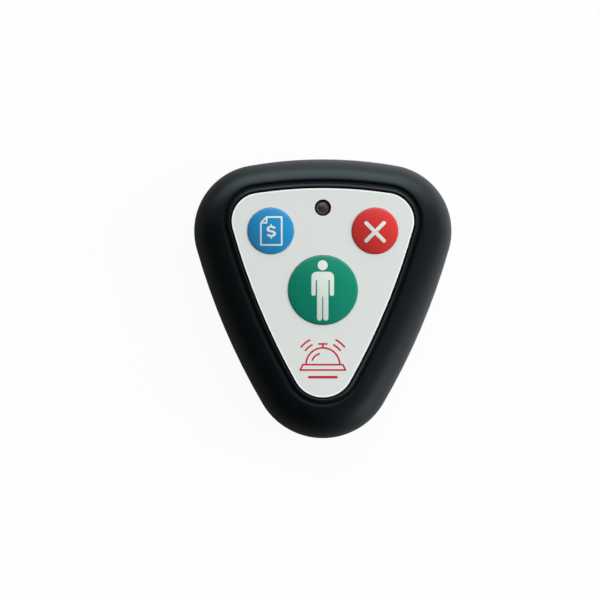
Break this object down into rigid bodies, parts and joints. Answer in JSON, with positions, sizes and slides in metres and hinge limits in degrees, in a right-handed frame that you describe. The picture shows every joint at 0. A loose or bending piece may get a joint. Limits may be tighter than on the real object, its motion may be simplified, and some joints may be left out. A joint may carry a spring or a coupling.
{
  "type": "waiter call button",
  "caption": "Palm-sized rounded-triangle table call button with domed push buttons and a signal lamp on a white faceplate, and a coin-cell hatch in its back.",
  "frame": {"origin": "centre of the plan box, on the plane that the rubber feet stand on", "axes": "+Z out of the face, +Y towards the lamp end, +X to the right as the face is read"},
  "size_m": [0.072, 0.078, 0.0174],
  "materials": {
    "black_case": "satin moulded ABS",
    "black_back": "fine textured moulded ABS",
    "white_plate": "satin printed polycarbonate sheet",
    "tape": "adhesive film",
    "green_key": "satin moulded plastic with a printed white sign",
    "blue_key": "satin moulded plastic with a printed white sign",
    "red_key": "satin moulded plastic with a printed white sign",
    "ivory_plunger": "moulded nylon",
    "snap_steel": "thin spring steel",
    "switch_black": "moulded nylon",
    "switch_steel": "stamped plate",
    "tinned": "tinned leads",
    "board": "solder mask over glass laminate",
    "lamp_lens": "tinted diffusing epoxy",
    "chip_black": "epoxy",
    "can_steel": "drawn can",
    "resistor_black": "glazed film on ceramic",
    "capacitor_tan": "sintered ceramic",
    "copper": "enamelled copper wire",
    "cell_steel": "nickel-plated can",
    "holder_black": "moulded nylon",
    "contact_gold": "plated spring strip",
    "hatch_black": "satin moulded ABS",
    "seal_rubber": "nitrile ring",
    "screw_steel": "zinc-plated",
    "foot_rubber": "matte pad"
  },
  "bodies": {
    "case": {"top_cover": "black_case", "bottom_cover": "black_back", "faceplate": "white_plate", "faceplate_tape": "tape", "call_snap_dome": "snap_steel", "bill_snap_dome": "snap_steel", "cancel_snap_dome": "snap_steel", "switch_bases": "switch_black", "switch_covers": "switch_steel", "switch_legs": "tinned", "circuit_board": "board", "lamp": "lamp_lens", "lamp_legs": "tinned", "encoder_chip": "chip_black", "encoder_pins": "tinned", "resonator_can": "can_steel", "transistor": "chip_black", "resistors": "resistor_black", "capacitors": "capacitor_tan", "antenna_coil": "copper", "coin_cell": "cell_steel", "cell_holder": "holder_black", "positive_contact": "contact_gold", "negative_contact": "contact_gold", "case_screws": "screw_steel", "board_screws": "screw_steel", "rubber_feet": "foot_rubber"},
    "call_key": {"call_button": "green_key", "call_plunger": "ivory_plunger"},
    "bill_key": {"bill_button": "blue_key", "bill_plunger": "ivory_plunger"},
    "cancel_key": {"cancel_button": "red_key", "cancel_plunger": "ivory_plunger"},
    "hatch": {"battery_hatch": "hatch_black", "hatch_seal": "seal_rubber"}
  },
  "joints": [
    {"name": "call_press", "type": "slide", "parent": "case", "child": "call_key", "axis": [0, 0, -1], "range_m": [0, 0.0003], "stiffness_N_per_m": 5300, "deforming": ["call_snap_dome"]},
    {"name": "bill_press", "type": "slide", "parent": "case", "child": "bill_key", "axis": [0, 0, -1], "range_m": [0, 0.0003], "stiffness_N_per_m": 5300, "deforming": ["bill_snap_dome"]},
    {"name": "cancel_press", "type": "slide", "parent": "case", "child": "cancel_key", "axis": [0, 0, -1], "range_m": [0, 0.0003], "stiffness_N_per_m": 5300, "deforming": ["cancel_snap_dome"]},
    {"name": "hatch_turn", "type": "hinge", "parent": "case", "child": "hatch", "pos_m": [0, -0.002, 0.0008], "axis": [0, 0, -1], "range_deg": [0, 40]}
  ]
}
